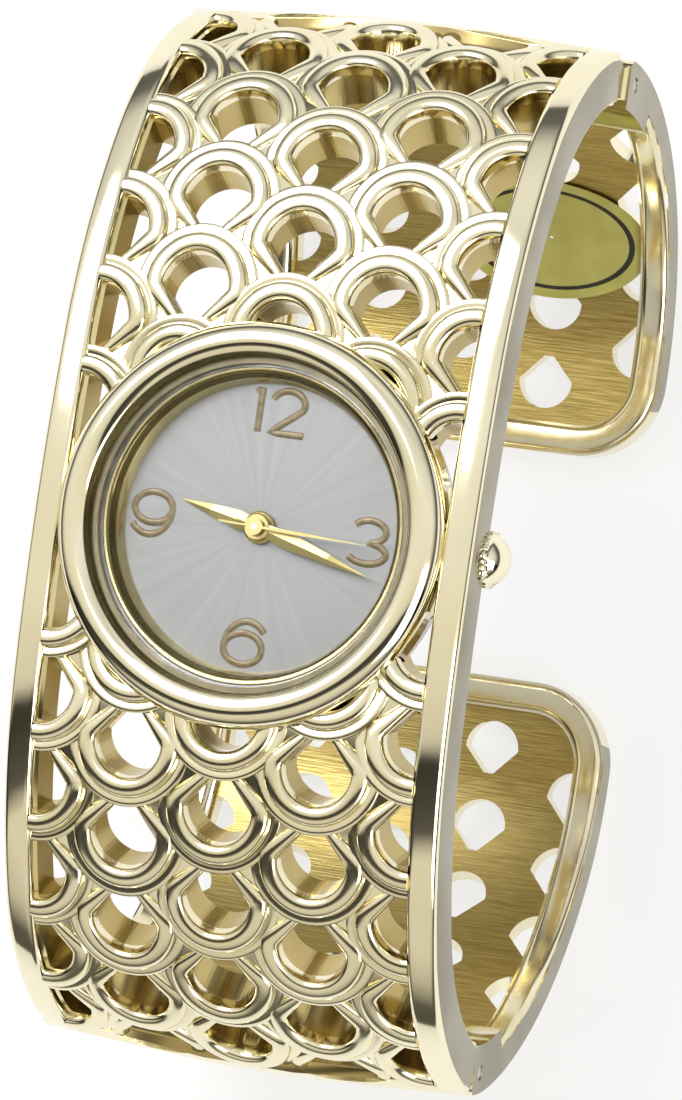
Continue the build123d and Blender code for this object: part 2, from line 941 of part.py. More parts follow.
export_step(second_hand.part, "parts/second_hand.step")
export_step(hour_tube.part, "parts/hour_tube.step")
export_step(minute_tube.part, "parts/minute_tube.step")
export_step(second_arbor.part, "parts/second_arbor.step")
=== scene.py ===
# %% [markdown]
# # A hinged cuff watch in pale gold
#
# The watch is an openwork front panel with a round head set in it, and two pierced arms that hang on
# cross pins at the panel's ends. The CAD model gives every rigid solid. This lesson dresses it: the
# raised edges of the fish scales, the rounded bezel, the dial with its numbers and hands, the
# soft-edged arms, the finishes, and a plain white studio.
#
# Everything is in metres in the CAD frame: +Z out of the dial, +Y towards twelve, +X towards three.

# %% Load the frame
import json
import math

import bmesh
import bpy
import numpy as np
from mathutils import Matrix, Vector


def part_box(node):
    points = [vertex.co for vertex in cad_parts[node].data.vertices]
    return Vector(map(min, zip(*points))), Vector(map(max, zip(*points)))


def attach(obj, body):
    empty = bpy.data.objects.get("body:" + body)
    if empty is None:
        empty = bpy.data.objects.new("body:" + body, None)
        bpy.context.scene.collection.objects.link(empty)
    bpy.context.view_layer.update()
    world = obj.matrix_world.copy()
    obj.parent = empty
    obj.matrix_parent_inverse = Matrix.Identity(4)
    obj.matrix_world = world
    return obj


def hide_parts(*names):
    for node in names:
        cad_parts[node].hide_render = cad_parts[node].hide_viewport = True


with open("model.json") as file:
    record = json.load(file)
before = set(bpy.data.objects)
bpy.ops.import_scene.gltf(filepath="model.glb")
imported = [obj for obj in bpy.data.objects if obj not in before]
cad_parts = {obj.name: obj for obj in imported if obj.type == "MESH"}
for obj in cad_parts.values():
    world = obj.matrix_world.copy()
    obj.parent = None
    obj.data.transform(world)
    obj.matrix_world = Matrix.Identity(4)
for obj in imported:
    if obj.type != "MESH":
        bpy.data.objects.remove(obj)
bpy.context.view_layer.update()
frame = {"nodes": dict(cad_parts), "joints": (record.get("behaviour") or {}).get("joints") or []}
nodes = frame["nodes"]
mm = 0.001

# %% [markdown]
# ## The sizes that the pieces share
#
# Each new piece sits on a CAD solid, so a few sizes are needed again here. They could be typed from
# a drawing. Reading the heights from the solids' own boxes is safer, because a piece then moves
# with the solid that carries it.


# %% Shared sizes, in millimetres
def low(node):
    """Lowest corner of a CAD solid's box, in millimetres."""
    return np.array(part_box(node)[0]) / mm


def high(node):
    """Highest corner of a CAD solid's box, in millimetres."""
    return np.array(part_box(node)[1]) / mm


band_width = high("front_panel")[0] - low("front_panel")[0]
half_width = band_width / 2
band_thickness = 3.0
band_crown = 0.65
rail_width = 1.8
bezel_rise = 1.2
head_x = (high("dial")[0] + low("dial")[0]) / 2
dial_top = high("dial")[2]
rail_top = high("bezel")[2] - bezel_rise
print("band", band_width, "head x", head_x, "dial top", dial_top, "rail top", rail_top)

# %% [markdown]
# ## Helpers that turn arrays into meshes
#
# A surface here is a grid of points: rows run one way and columns the other. It could be built with
# a loop that adds one vertex at a time. Working out the whole grid as one numpy array and handing
# it over in a single call is shorter and much faster.


# %% Faces of a grid and of a tube
def grid_quads(rows, columns, wrap_rows=False, wrap_columns=False):
    """Quads of a grid: each joins a point, its next column, that one's next row, and its next row."""
    down = np.arange(rows if wrap_rows else rows - 1)
    along = np.arange(columns if wrap_columns else columns - 1)
    i, j = np.meshgrid(down, along, indexing="ij")
    below, beside = (i + 1) % rows, (j + 1) % columns
    corners = [i * columns + j, i * columns + beside, below * columns + beside, below * columns + j]
    return np.stack(corners, axis=-1).reshape(-1, 4)


def closed_tubes(tubes):
    """Points and faces of tubes given as (rings, points, 3) arrays: their walls and a face at each end."""
    faces, used = [], 0
    for rings, columns, _ in (tube.shape for tube in tubes):
        first = used + np.arange(columns)
        last = first + (rings - 1) * columns
        faces += (grid_quads(rings, columns, wrap_columns=True) + used).tolist()
        faces += [first.tolist(), last[::-1].tolist()]
        used += rings * columns
    return np.concatenate([tube.reshape(-1, 3) for tube in tubes]), faces


print("quads of a ring of 3 rows and 8 columns:", len(grid_quads(3, 8, wrap_columns=True)))


# %% From points and faces to a finished piece
def finish_piece(piece, material, body, smooth_angle):
    """Smooth shading that keeps edges sharper than the angle, one finish, and a body to ride on."""
    piece.data.materials.clear()
    piece.data.materials.append(material)
    piece.data.shade_smooth()
    piece.data.set_sharp_from_angle(angle=math.radians(smooth_angle))
    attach(piece, body)


def make_piece(name, points, faces, material, body, smooth_angle=40.0):
    """Puts points (millimetres) and faces into a mesh, turns its faces outward and lets it ride."""
    mesh = bpy.data.meshes.new(name)
    mesh.from_pydata((np.asarray(points, float) * mm).tolist(), [], [list(map(int, f)) for f in faces])
    sheet = bmesh.new()
    sheet.from_mesh(mesh)
    bmesh.ops.remove_doubles(sheet, verts=sheet.verts, dist=1e-7)
    bmesh.ops.recalc_face_normals(sheet, faces=sheet.faces)
    sheet.to_mesh(mesh)
    sheet.free()
    piece = bpy.data.objects.new(name, mesh)
    bpy.context.scene.collection.objects.link(piece)
    finish_piece(piece, material, body, smooth_angle)
    return piece


# %% A smooth copy of a CAD solid
def smooth_copy(node, name, material, body, smooth_angle=28.0):
    """A merged copy of a CAD solid, shaded smooth, in place of its loose triangles."""
    mesh = nodes[node].data.copy()
    mesh.name = name
    solid = bmesh.new()
    solid.from_mesh(mesh)
    bmesh.ops.remove_doubles(solid, verts=solid.verts, dist=2e-7)
    solid.to_mesh(mesh)
    solid.free()
    piece = bpy.data.objects.new(name, mesh)
    bpy.context.scene.collection.objects.link(piece)
    finish_piece(piece, material, body, smooth_angle)
    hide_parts(node)
    print(name, "faces:", len(mesh.polygons))
    return piece


# %% A shape turned about the dial's axis
def lathe(name, outline, material, body, count=192, smooth_angle=40.0):
    """A closed outline of (radius, height) turned about the dial's axis."""
    outline = np.asarray(outline, float)
    turn = np.linspace(0, 2 * np.pi, count, endpoint=False)[:, None]
    x = head_x + outline[None, :, 0] * np.cos(turn)
    y = outline[None, :, 0] * np.sin(turn)
    z = np.broadcast_to(outline[None, :, 1], x.shape)
    points = np.stack([x, y, z], axis=-1).reshape(-1, 3)
    faces = grid_quads(count, len(outline), wrap_rows=True, wrap_columns=True)
    return make_piece(name, points, faces, material, body, smooth_angle)


# %% More than one finish on a piece
def face_arrays(piece):
    """Centres (millimetres) and normals of a piece's faces, one row for each face."""
    centres = np.array([face.center[:] for face in piece.data.polygons]) / mm
    normals = np.array([face.normal[:] for face in piece.data.polygons])
    return centres, normals


def add_finish(piece, material, chosen):
    """Adds one more finish to a piece and gives it to the chosen faces."""
    faces = piece.data.polygons
    slots = np.array([face.material_index for face in faces], np.int32)
    piece.data.materials.append(material)
    slots[chosen] = len(piece.data.materials) - 1
    faces.foreach_set("material_index", slots)
    piece.data.update()
    print(piece.name, material.name, "on", int(chosen.sum()), "of", len(faces), "faces")


# %% [markdown]
# ## The camera
#
# The photograph looks down on the dial from the crown's side, with the watch tilted in the frame.
# The camera could be nudged by eye. Here its place comes from a fit of known points, such as the
# dial's centre, the lattice holes and the rails' corners, and is written as angles and a distance.

# %% Where the camera stands
view_turn = 0.3386
view_rise = -0.0274
view_roll = 0.1462
view_distance = 340.0
aim_x, aim_y, aim_drop = -1.446, 0.096, 20.6

towards = np.array(
    [
        math.sin(view_turn) * math.cos(view_rise),
        math.sin(view_rise),
        math.cos(view_turn) * math.cos(view_rise),
    ]
)
level_right = np.cross([0, 1, 0], towards)
level_right /= np.linalg.norm(level_right)
level_up = np.cross(towards, level_right)
camera_right = math.cos(view_roll) * level_right + math.sin(view_roll) * level_up
camera_up = -math.sin(view_roll) * level_right + math.cos(view_roll) * level_up
aim = np.array([head_x, 0.0, rail_top - aim_drop]) + aim_x * camera_right + aim_y * camera_up
stand = aim + view_distance * towards
print("camera stands at", np.round(stand, 1))


# %% Put an object at a place, looking along its own -Z
def placed(right, up, back, place):
    """Matrix whose columns are the three directions and the place, given in millimetres."""
    matrix = np.eye(4)
    matrix[:3] = np.stack([right, up, back, np.asarray(place, float) * mm], axis=1)
    return Matrix(matrix.tolist())


photo_height = 1100
lens_pixels = 5582.6
film_height = 24.0

camera = bpy.data.objects.new("camera", bpy.data.cameras.new("camera"))
bpy.context.scene.collection.objects.link(camera)
camera.matrix_world = placed(camera_right, camera_up, towards, stand)
camera.data.sensor_fit = "VERTICAL"
camera.data.sensor_height = film_height
camera.data.lens = film_height * lens_pixels / photo_height
camera.data.clip_start = 0.01
camera.data.clip_end = 5.0
bpy.context.scene.camera = camera
print("lens", round(camera.data.lens, 1))

# %% [markdown]
# ## Finishes
#
# The metal is a pale champagne gold plate, polished like a mirror outside and drawn with fine
# straight scratches inside the arms. One colour would look like paint, so each finish changes a
# little over the surface: a faint waviness in the polish, and long thin scratches in the brushing.


# %% Node helpers
def node_tools(tree):
    """A short way to add a node with its settings, and one to join two sockets."""

    def add(kind, **values):
        node = tree.nodes.new(kind)
        for key, value in values.items():
            if key in node.inputs:
                node.inputs[key].default_value = value
            else:
                setattr(node, key, value)
        return node

    return add, tree.links.new


def new_material(name):
    """A material, its shader, and its two node tools."""
    material = bpy.data.materials.new(name)
    material.use_nodes = True
    add, link = node_tools(material.node_tree)
    return material, material.node_tree.nodes["Principled BSDF"], add, link


def set_sockets(node, values):
    """Sets sockets that nothing is joined to, from a table of name and value."""
    for socket, value in values.items():
        node.inputs[socket].default_value = value


# %% Colour, gloss and relief from one pattern
def ramp(add, link, source, stops):
    """A colour ramp fed by a value, from pairs of (place, colour)."""
    node = add("ShaderNodeValToRGB")
    elements = node.color_ramp.elements
    while len(elements) < len(stops):
        elements.new(0.5)
    for element, (place, colour) in zip(elements, stops):
        element.position = place
        element.color = (*colour, 1.0)
    link(source, node.inputs["Fac"])
    return node


def colour_from(add, link, shader, source, stops):
    """Base colour that follows a pattern between the colours of the stops."""
    link(ramp(add, link, source, stops).outputs["Color"], shader.inputs["Base Color"])


def gloss_from(add, link, shader, source, least, most):
    """Roughness that follows a pattern between two values."""
    gloss = add("ShaderNodeMapRange")
    set_sockets(gloss, {"To Min": least, "To Max": most})
    link(source, gloss.inputs["Value"])
    link(gloss.outputs["Result"], shader.inputs["Roughness"])


def relief_from(add, link, shader, source, strength, depth):
    """Bumps that follow a pattern; the depth is in metres."""
    bump = add("ShaderNodeBump", Strength=strength, Distance=depth)
    link(source, bump.inputs["Height"])
    link(bump.outputs["Normal"], shader.inputs["Normal"])


# %% Polished gold
def noise(add, link, **values):
    """Value of a noise texture that is read at the object's own coordinates."""
    place = add("ShaderNodeTexCoord")
    texture = add("ShaderNodeTexNoise", **values)
    link(place.outputs["Object"], texture.inputs["Vector"])
    return texture.outputs["Fac"]


def polished_gold(name, bright, deep, roughness, ripple=0.03):
    """Mirror metal whose colour and gloss drift slowly, with a faint waviness in its polish."""
    material, shader, add, link = new_material(name)
    drift = noise(add, link, Scale=160.0, Detail=2.0)
    colour_from(add, link, shader, drift, [(0.35, deep), (0.65, bright)])
    gloss_from(add, link, shader, drift, roughness * 0.8, roughness * 1.3)
    wave = noise(add, link, Scale=420.0, Detail=1.0)
    relief_from(add, link, shader, wave, ripple, 0.0003)
    set_sockets(shader, {"Metallic": 1.0})
    return material


gold = polished_gold("polished_gold", (0.90, 0.84, 0.63), (0.86, 0.80, 0.57), 0.08)
soft_gold = polished_gold("cast_gold", (0.88, 0.82, 0.60), (0.82, 0.75, 0.51), 0.13, ripple=0.08)
ring_gold = polished_gold("ring_gold", (0.74, 0.65, 0.38), (0.66, 0.57, 0.31), 0.22)
hand_gold = polished_gold("hand_gold", (0.58, 0.50, 0.24), (0.50, 0.42, 0.18), 0.38)
# Painted shade: a darker gold that stands in for the shade on the openings' walls and on the side that faces
# the wrist.
wall_shade_gold = polished_gold("wall_shade_gold", (0.58, 0.46, 0.20), (0.44, 0.34, 0.13), 0.22, ripple=0.1)
# Painted reflection and shade: a darker gold for the band's flat sides, which mirror the room and not the
# lamps.
side_shade_gold = polished_gold("side_shade_gold", (0.36, 0.33, 0.24), (0.26, 0.235, 0.165), 0.12)
# Painted shade: a dark gold for the narrow grooves on the bezel and on the ring under the glass.
groove_shade_gold = polished_gold("groove_shade_gold", (0.22, 0.18, 0.08), (0.15, 0.12, 0.05), 0.12)
print("polished finishes:", gold.name, soft_gold.name, ring_gold.name, wall_shade_gold.name, groove_shade_gold.name)


# %% Brushed gold
def brushed_gold():
    """Deeper gold with straight scratches along X: noise stretched far along one axis."""
    material, shader, add, link = new_material("brushed_gold")
    place = add("ShaderNodeTexCoord")
    stretch = add("ShaderNodeMapping")
    set_sockets(stretch, {"Scale": (60.0, 9000.0, 9000.0)})
    link(place.outputs["Object"], stretch.inputs["Vector"])
    lines = add("ShaderNodeTexNoise", Scale=1.0, Detail=3.0)
    link(stretch.outputs["Vector"], lines.inputs["Vector"])
    shades = [(0.3, (0.37, 0.28, 0.09)), (0.7, (0.58, 0.46, 0.18))]
    colour_from(add, link, shader, lines.outputs["Fac"], shades)
    relief_from(add, link, shader, lines.outputs["Fac"], 0.25, 0.0001)
    set_sockets(shader, {"Metallic": 1.0, "Roughness": 0.34})
    return material


inner_gold = brushed_gold()
print("brushed finish:", inner_gold.name)

# %% [markdown]
# ## The dial and its glass
#
# The dial is silver with fine rays that fan out from its centre, left by a brush that turned with
# it. A painted picture of rays would blur close up. Noise that is read along the angle round the
# centre, and along nothing else, gives rays that stay sharp and run straight to the edge.


# %% Silver with rays
def sunray_silver():
    """Silver with rays: noise read along the angle round the dial's centre only."""
    material, shader, add, link = new_material("sunray_silver")
    place = add("ShaderNodeTexCoord")
    shift = add("ShaderNodeVectorMath", operation="SUBTRACT")
    shift.inputs[1].default_value = (head_x * mm, 0.0, 0.0)
    link(place.outputs["Object"], shift.inputs[0])
    split = add("ShaderNodeSeparateXYZ")
    link(shift.outputs["Vector"], split.inputs["Vector"])
    angle = add("ShaderNodeMath", operation="ARCTAN2")
    link(split.outputs["Y"], angle.inputs[0])
    link(split.outputs["X"], angle.inputs[1])
    rays = add("ShaderNodeTexNoise", noise_dimensions="1D", Scale=9.0, Detail=2.0)
    link(angle.outputs["Value"], rays.inputs["W"])
    shades = [(0.3, (0.275, 0.28, 0.285)), (0.7, (0.305, 0.31, 0.315))]
    colour_from(add, link, shader, rays.outputs["Fac"], shades)
    relief_from(add, link, shader, rays.outputs["Fac"], 0.05, 0.0001)
    set_sockets(shader, {"Metallic": 0.5, "Roughness": 0.45})
    return material


silver = sunray_silver()
print("dial finish:", silver.name)


# %% Clear glass
def clear_glass():
    """Thin clear glass: it lets light straight through and keeps a faint gloss."""
    material, shader, add, link = new_material("clear_glass")
    specks = add("ShaderNodeTexNoise", Scale=900.0)
    gloss_from(add, link, shader, specks.outputs["Fac"], 0.0, 0.03)
    set_sockets(
        shader,
        {"Base Color": (0.97, 0.98, 0.98, 1.0), "Transmission Weight": 1.0, "IOR": 1.08, "Alpha": 0.25},
    )
    return material


glass = clear_glass()
print("glass:", glass.name)


# %% Steel, plastic, rubber and the other small finishes
def speckled(name, low_colour, high_colour, scale, metallic, roughness, bumpiness=0.1):
    """A plain finish whose colour wanders between two close shades."""
    material, shader, add, link = new_material(name)
    grain = noise(add, link, Scale=scale, Detail=3.0)
    colour_from(add, link, shader, grain, [(0.3, low_colour), (0.7, high_colour)])
    relief_from(add, link, shader, grain, bumpiness, 0.00005)
    set_sockets(shader, {"Metallic": metallic, "Roughness": roughness})
    return material


number_brown = speckled("number_brown", (0.15, 0.12, 0.065), (0.25, 0.20, 0.12), 3000.0, 0.4, 0.4)
steel = speckled("plain_steel", (0.55, 0.55, 0.55), (0.66, 0.66, 0.66), 900.0, 1.0, 0.3)
nylon = speckled("gasket_nylon", (0.22, 0.19, 0.12), (0.3, 0.26, 0.16), 900.0, 0.3, 0.4)
white_plastic = speckled("white_plastic", (0.78, 0.78, 0.76), (0.86, 0.86, 0.84), 500.0, 0.0, 0.5)
dark_plastic = speckled("dark_plastic", (0.05, 0.05, 0.055), (0.09, 0.09, 0.095), 500.0, 0.0, 0.5)
board_green = speckled("board_green", (0.03, 0.14, 0.06), (0.05, 0.2, 0.09), 700.0, 0.0, 0.35)
copper = speckled("copper_wire", (0.42, 0.16, 0.06), (0.62, 0.27, 0.12), 2500.0, 0.8, 0.35)
rubber = speckled("black_rubber", (0.015, 0.015, 0.015), (0.03, 0.03, 0.03), 900.0, 0.0, 0.7)
brass = speckled("turned_brass", (0.68, 0.5, 0.2), (0.8, 0.62, 0.3), 900.0, 1.0, 0.25)
print("finishes so far:", len(bpy.data.materials))

# %% [markdown]
# ## The CAD solids get their finishes
#
# A hidden solid still needs a finish, because someone may take the watch apart. The solids whose
# shape is already right keep their mesh and only change material.

# %% Finishes of the CAD solids
finish_of = {
    steel: ["case_body", "case_back", "upper_hinge_pin", "lower_hinge_pin", "winding_stem", "crown_tube",
            "upper_hinge_spring", "lower_hinge_spring", "battery", "battery_clip", "second_arbor"],
    gold: ["front_panel", "upper_link", "lower_link", "bezel", "crown", "upper_arm", "lower_arm"],
    ring_gold: ["dial_ring"],
    hand_gold: ["hour_hand", "minute_hand", "second_hand"],
    brass: ["hour_tube", "minute_tube"],
    glass: ["crystal"],
    nylon: ["crystal_gasket"],
    silver: ["dial"],
    white_plastic: ["movement_holder"],
    dark_plastic: ["movement_plate"],
    board_green: ["circuit_board"],
    copper: ["coil"],
    rubber: ["case_back_gasket", "crown_gasket"],
}
for finish, names in finish_of.items():
    for name in names:
        nodes[name].data.materials.clear()
        nodes[name].data.materials.append(finish)
print("solids with a finish:", sum(len(names) for names in finish_of.values()))

# %% [markdown]
# ## The crown and the hinge links
#
# Both are polished bright, and their solids already have the right shape. Only the shading has to
# change: each triangle of a solid is shaded flat, so a round crown would show its facets. Merging
# the corners that meet lets the shading run on over them. The band's flat sides look deeper in tone
# than its face, because they mirror the room and not the lamps; that darker tone is painted into
# their colour as a painted reflection and shade.

# %% Smooth copies of the crown and the links
side_reach = 0.8
sideways = 0.95


def paint_side_shade(piece):
    """Paints a darker colour on the flat faces at the band's two sides, as painted reflection and shade."""
    centres, normals = face_arrays(piece)
    beside = np.abs(centres[:, 0] - head_x) > half_width - side_reach
    add_finish(piece, side_shade_gold, beside & (np.abs(normals[:, 0]) > sideways))


smooth_copy("crown", "fluted_crown", gold, "crown", 35.0)
for link_node in ("upper_link", "lower_link"):
    paint_side_shade(smooth_copy(link_node, link_node + "_polished", gold, "front"))

# %% [markdown]
# ## The curves that the band and the arms follow
#
# Seen from its side, each half of the panel is three arcs: a nearly flat crest, a shoulder and a
# tight side. Each arm goes on with three more. The rails, ridges, rims and the blank oval all lie
# on these strips. They could be made flat and bent by a modifier, but then no size could be checked
# until the end. Here a strip is a function instead: a place across and a place along go in, and a
# point in space comes out.


# %% Lines of tangent arcs
def arc_line(start, angle, bends, steps=60):
    """Points along arcs that bend clockwise, each tangent to the last.

    After a turn t on an arc of radius r that starts at angle a, the point has moved by
    r (sin a - sin(a - t), cos(a - t) - cos a)."""
    points = [np.array(start, float)[None, :]]
    for radius, turn in bends:
        t = np.radians(turn) * np.arange(1, steps + 1) / steps
        ahead = np.stack([np.sin(angle) - np.sin(angle - t), np.cos(angle - t) - np.cos(angle)], axis=1)
        points.append(points[-1][-1] + radius * ahead)
        angle -= np.radians(turn)
    return np.concatenate(points)


print("a quarter turn of radius 10 ends at", np.round(arc_line((0, 0), 0.0, ((10, 90),))[-1], 2))


# %% A strip's outer face as a function
class Face:
    """Outer face of a curved strip: point and outward direction at (across, along).

    The centre line is a list of (y, z) points, and a place along it is found by its length. way is
    1 where the line turns clockwise as it runs, and -1 where it turns the other way."""

    def __init__(self, line, start_share, way):
        steps = np.linalg.norm(np.diff(line, axis=0), axis=1)
        self.along = np.concatenate([[0.0], np.cumsum(steps)])
        self.length = self.along[-1]
        self.along = self.along - start_share * self.length
        self.line = line
        self.way = way

    def centre(self, along):
        """Point (y, z) of the centre line."""
        return np.stack([np.interp(along, self.along, self.line[:, k]) for k in (0, 1)], axis=-1)

    def outward(self, along, reach=0.05):
        """Unit normal (y, z) of the centre line: its tangent turned a quarter turn outward."""
        along = np.clip(along, self.along[0] + reach, self.along[-1] - reach)
        tangent = self.centre(along + reach) - self.centre(along - reach)
        tangent /= np.linalg.norm(tangent, axis=-1, keepdims=True)
        return self.way * np.stack([-tangent[..., 1], tangent[..., 0]], axis=-1)

    def at(self, across, along, rise):
        """Point on the line, moved by across along X and by crown (1 - (across/half)^2) + rise outward."""
        lift = (band_crown * (1 - (across / half_width) ** 2) + rise)[..., None]
        flat = self.centre(along) + lift * self.outward(along)
        return np.concatenate([np.broadcast_to((head_x + across)[..., None], lift.shape), flat], axis=-1)

    def nearest(self, points):
        """Place along the line nearest to points, and their depth under the crowned face."""
        gap = points[:, None, 1:] - self.line[None, :, :]
        along = self.along[np.argmin((gap**2).sum(axis=-1), axis=1)]
        outer = self.at(points[:, 0] - head_x, along, np.zeros(len(points)))
        return along, -((points - outer)[:, 1:] * self.outward(along)).sum(axis=1)

    def crowned_normal(self, across, along):
        """Outward normal with the crown's slope in it: X part 2 crown across / half^2."""
        slope = 2 * band_crown * across / half_width**2
        full = np.concatenate([slope[:, None], self.outward(along)], axis=1)
        return full / np.linalg.norm(full, axis=1)[:, None]


# %% The panel's strip, as (radius, degrees) of crest, shoulder and side
band_bends = ((112.7, 5.3), (33.8, 22.6), (16.1, 47.2))
half_band = arc_line((0.0, rail_top), 0.0, band_bends)
band = Face(np.concatenate([half_band[::-1] * (-1, 1), half_band[1:]]), 0.5, 1)
panel_half = band.length / 2
print("band half length", round(panel_half, 2))

# %% The arms' strips, each from its pin to its tip
arm_end_rise = 1.3
pin_inset = 1.35
# Depth and reach of the tip from the pin, (share of the arm's size, degrees) of three arcs, and way
arm_shapes = {
    "upper_arm": (15.6, 21.7, ((0.91, 13.6), (1.03, 56.0), (0.96, 20.4)), 1),
    "lower_arm": (17.8, 23.5, ((0.6, 15.3), (1.2, 50.8), (0.75, 23.9)), -1),
}
pins = {joint["child"]: np.array(joint["pos_m"]) / mm for joint in frame["joints"] if "pos_m" in joint}
arm_faces = {}
for arm, (depth, reach, bends, way) in arm_shapes.items():
    unit_drop = -arc_line((0.0, 0.0), -np.pi / 2, bends)[-1][1]
    size = (depth + arm_end_rise) / unit_drop
    bent = arc_line((pin_inset, arm_end_rise), -np.pi / 2, [(size * share, turn) for share, turn in bends])
    straight = np.linspace(bent[-1], (-reach, -depth), 40)[1:]
    arm_faces[arm] = Face(np.concatenate([bent, straight]) * (way, 1) + pins[arm][1:], 0.0, way)
    print(arm, "length", round(arm_faces[arm].length, 2))


# %% [markdown]
# ## The panel: even normals and rounded rails
#
# The casting's faces are long flat triangles, and a mirror finish shows each of them. Subdividing
# them would only make more flat ones. Instead each corner is told the direction that the true
# curved face has there, while the walls of the openings keep their own. The solid's two rails are
# square bars, and polishing has worn those of the watch round. So the solid's rails are tucked in a
# little, and a bar with round corners is carried along each side in their place.


# %% Even normals
def even_normals(piece, face, lies_flat=0.97, looks_sideways=0.999):
    """Replaces the facets' normals by the true surface's, where a facet lies along the strip's face.

    A corner gets the crowned normal, outward or inward as its facet looks. A facet that looks along
    X keeps its own normal, and the walls of the openings keep their smoothed ones."""
    mesh = piece.data
    corners = np.array([loop.vertex_index for loop in mesh.loops])
    owner = np.repeat(np.arange(len(mesh.polygons)), [len(f.vertices) for f in mesh.polygons])
    points = np.array([v.co[:] for v in mesh.vertices]) / mm
    facet = np.array([f.normal[:] for f in mesh.polygons])[owner]
    smooth = np.array([c.vector[:] for c in mesh.corner_normals])
    along, _ = face.nearest(points)
    true = face.crowned_normal(points[:, 0] - head_x, along)[corners]
    facing = (facet * true).sum(axis=1)
    lies = np.abs(facing) > lies_flat
    normals = np.where(lies[:, None], np.sign(facing)[:, None] * true, smooth)
    normals = np.where(np.abs(facet[:, :1]) > looks_sideways, facet, normals)
    mesh.normals_split_custom_set(normals.tolist())
    print(piece.name, "corners on the face:", int(lies.sum()), "of", len(corners))


# %% The casting, with painted shade on its walls, and its rails tucked in
def paint_wall_shade(piece, face, looks_in=0.6, rail_skin=0.3):
    """Paints shade on the openings' walls and on the side that faces the wrist, in a darker colour."""
    centres, normals = face_arrays(piece)
    along, _ = face.nearest(centres)
    facing = (normals[:, 1:] * face.outward(along)).sum(axis=1)
    between_sides = np.abs(centres[:, 0] - head_x) < half_width - rail_skin
    add_finish(piece, wall_shade_gold, (facing < looks_in) & between_sides)


def tuck_rails(piece, by=0.35, end_gap=1.0, skin=0.4, top_slack=0.02, side_slack=0.05):
    """Moves the outer faces of both rails inward, so that the rounded bars cover them.

    The top goes down along the strip's normal and the sides go in along X. The last stretch at
    each end stays, because the links' collars meet it."""
    points = np.array([v.co[:] for v in piece.data.vertices]) / mm
    along, depth = band.nearest(points)
    aside = points[:, 0] - head_x
    inland = np.abs(along) < panel_half - end_gap
    top = inland & (np.abs(aside) > half_width - rail_width - top_slack) & (depth < skin)
    side = inland & (np.abs(aside) > half_width - side_slack)
    points[:, 1:] -= by * top[:, None] * band.outward(along)
    points[:, 0] -= by * side * np.sign(aside)
    piece.data.vertices.foreach_set("co", (points * mm).ravel())
    piece.data.update()
    print(piece.name, "points tucked in:", int((top | side).sum()))


panel = smooth_copy("front_panel", "panel_casting", gold, "front")
paint_wall_shade(panel, band)
even_normals(panel, band)
tuck_rails(panel)


# %% A profile carried along a path on a strip
def path_left(path):
    """Unit direction to the left of a flat path at each of its points: its tangent turned."""
    tangent = np.gradient(path, axis=0)
    tangent /= np.linalg.norm(tangent, axis=1)[:, None]
    return np.stack([-tangent[:, 1], tangent[:, 0]], axis=1)


def carried_strip(name, face, path, profile, material, body, smooth_angle=60.0):
    """A closed profile of (aside, rise) carried along a path of (across, along) on a strip.

    Aside is measured on the strip, square to the path and to its left."""
    flat = path[:, None, :] + path_left(path)[:, None, :] * profile[None, :, 0, None]
    rise = np.broadcast_to(profile[None, :, 1], flat.shape[:2])
    points, faces = closed_tubes([face.at(flat[..., 0], flat[..., 1], rise)])
    return make_piece(name, points, faces, material, body, smooth_angle)


def rounded_bar(width, low_face, high_face, radii, steps=8):
    """Closed profile of (aside, rise): a box whose four corners are quarter circles.

    The radii belong to the corners (+, low), (+, high), (-, high) and (-, low)."""
    half = width / 2
    corners = [(half, low_face, 270), (half, high_face, 0), (-half, high_face, 90), (-half, low_face, 180)]
    points = []
    for (x, z, first), radius in zip(corners, radii):
        centre = np.array([x - math.copysign(radius, x), z + (radius if z == low_face else -radius)])
        turn = np.radians(np.linspace(first, first + 90, steps))
        points.append(centre + radius * np.stack([np.cos(turn), np.sin(turn)], axis=1))
    return np.concatenate(points)


# %% The two rails
rail_end_gap = 0.06
run = np.linspace(-panel_half + rail_end_gap, panel_half - rail_end_gap, 361)
rail_profile = rounded_bar(rail_width, -band_thickness, 0.0, (0.25, 0.42, 0.42, 0.25))
for name, side in (("left_rail", -1), ("right_rail", 1)):
    rail_path = np.stack([np.full(len(run), side * (half_width - rail_width / 2)), run], axis=1)
    paint_side_shade(carried_strip(name, band, rail_path, rail_profile, gold, "front", 50.0))

# %% [markdown]
# ## The scale ridges
#
# On the real casting every opening has a broad raised edge round its head and down both sides, then
# a thin groove, then a low lip. The scales overlap like tiles: each one rests on the foot of the
# next one out. They could be carved by displacing a dense sheet, but its edges would be jagged at
# the openings. Carrying a profile along the outline of each opening keeps the edge crisp, and
# tipping each outline makes the overlap.

# %% Sizes of the lattice
fan_width, fan_length, fan_foot = 4.2, 3.8, 1.4
column_pitch, row_pitch = 5.85, 5.55
first_apex = {0: 13.1, 1: 15.5, 2: 7.5}
hidden_apex = 9.95
end_bar, rail_web = 1.0, 0.15


def panel_places():
    """(across, apex, way) of every opening, and of four scales that the bezel hides but for an edge."""
    last_apex = panel_half - end_bar - rail_web - fan_foot + fan_length
    places = []
    for column in range(-2, 3):
        apex = first_apex[abs(column)]
        while apex < last_apex:
            places += [(column * column_pitch, apex, -1), (column * column_pitch, apex, 1)]
            apex += row_pitch
    return places + [(side * column_pitch, hidden_apex, way) for side in (-1, 1) for way in (-1, 1)]


print("scales:", len(panel_places()))


